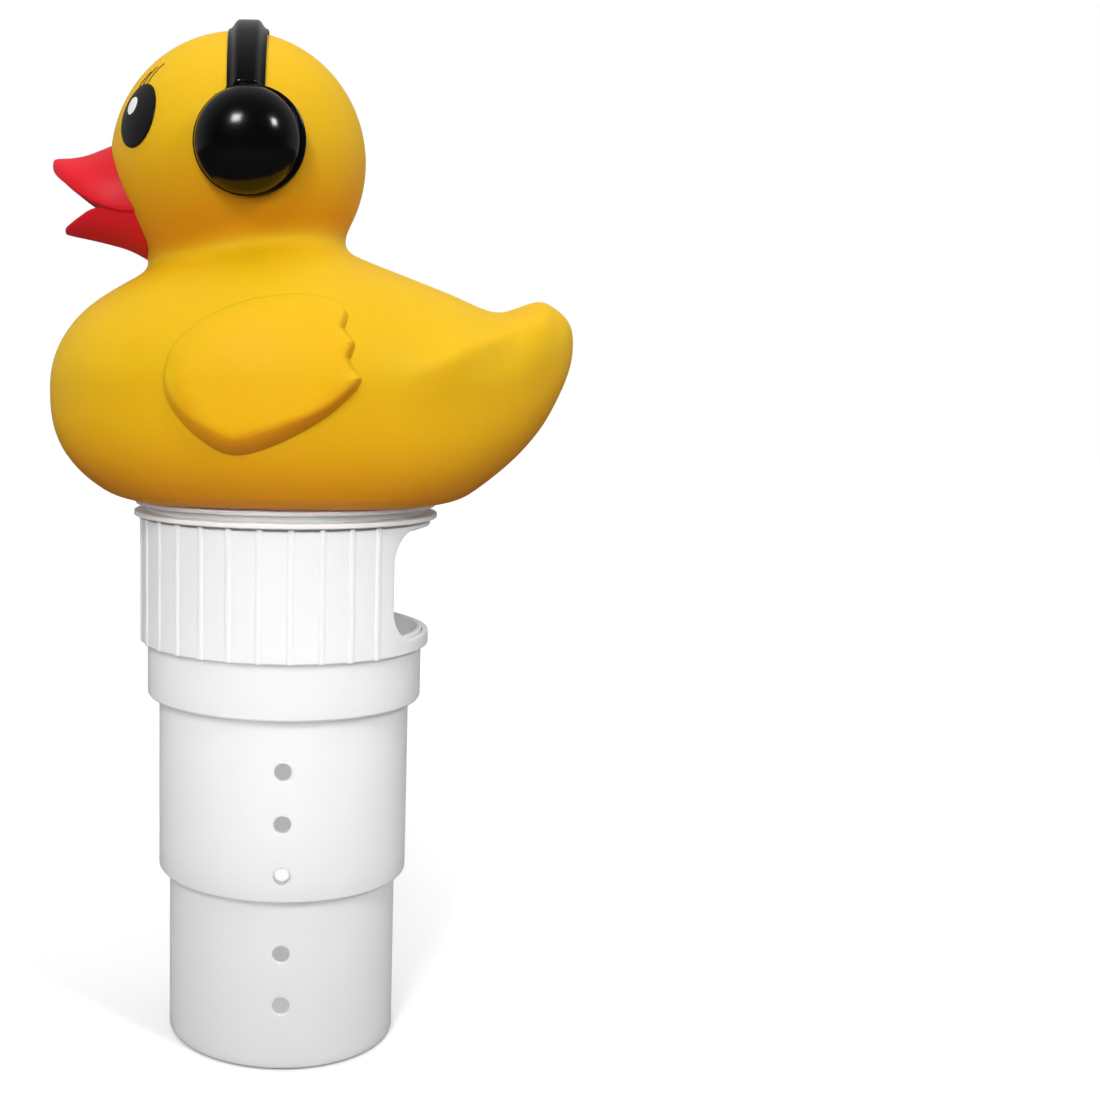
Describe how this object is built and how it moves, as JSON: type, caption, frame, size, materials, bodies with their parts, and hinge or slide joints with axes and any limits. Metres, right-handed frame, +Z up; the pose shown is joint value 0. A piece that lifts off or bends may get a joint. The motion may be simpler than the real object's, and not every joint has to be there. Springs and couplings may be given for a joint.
{
  "type": "floating chlorine dispenser",
  "caption": "Duck-shaped float with headphones that screws onto a ribbed vent body with a turning flow sleeve and telescoping perforated tablet tubes.",
  "frame": {"origin": "on the tube axis at the underside of the lowest tube, with the tubes drawn fully out", "axes": "+Z up along the tube axis; the duck looks towards -Y and its tail and the vent window face +Y"},
  "size_m": [0.149, 0.1902, 0.373],
  "materials": {
    "white_plastic": "satin moulded polypropylene",
    "yellow_vinyl": "matte soft vinyl",
    "red_vinyl": "satin soft vinyl",
    "black_gloss": "gloss",
    "eye_black": "satin printed paint",
    "eye_white": "satin printed paint",
    "seal_rubber": "matte"
  },
  "bodies": {
    "housing": {"vent_body": "white_plastic"},
    "middle_stage": {"middle_tube": "white_plastic"},
    "lower_stage": {"lower_tube": "white_plastic"},
    "sleeve": {"flow_sleeve": "white_plastic"},
    "seal": {"cap_gasket": "seal_rubber"},
    "float": {"screw_cap": "white_plastic", "duck_shell": "yellow_vinyl", "beak": "red_vinyl", "headband": "black_gloss", "ear_ring_left": "black_gloss", "ear_ring_right": "black_gloss", "ear_dome_left": "black_gloss", "ear_dome_right": "black_gloss"}
  },
  "joints": [
    {"name": "middle_slide", "type": "slide", "parent": "housing", "child": "middle_stage", "axis": [0, 0, 1], "range_m": [0, 0.0655]},
    {"name": "lower_slide", "type": "slide", "parent": "middle_stage", "child": "lower_stage", "axis": [0, 0, 1], "range_m": [0, 0.0632]},
    {"name": "sleeve_turn", "type": "hinge", "parent": "housing", "child": "sleeve", "pos_m": [0, 0, 0.17], "axis": [0, 0, 1], "range_deg": [0, 90]},
    {"name": "cap_lift", "type": "slide", "parent": "housing", "child": "seal", "axis": [0, 0, 1], "range_m": [0, 0.00501]},
    {"name": "float_turn", "type": "hinge", "parent": "seal", "child": "float", "pos_m": [0, 0, 0.207], "axis": [0, 0, 1], "range_deg": [0, 75]}
  ],
  "couplings": [
    {"joint": "cap_lift", "follows": "float_turn", "m_per_rad": 0.0038197}
  ]
}
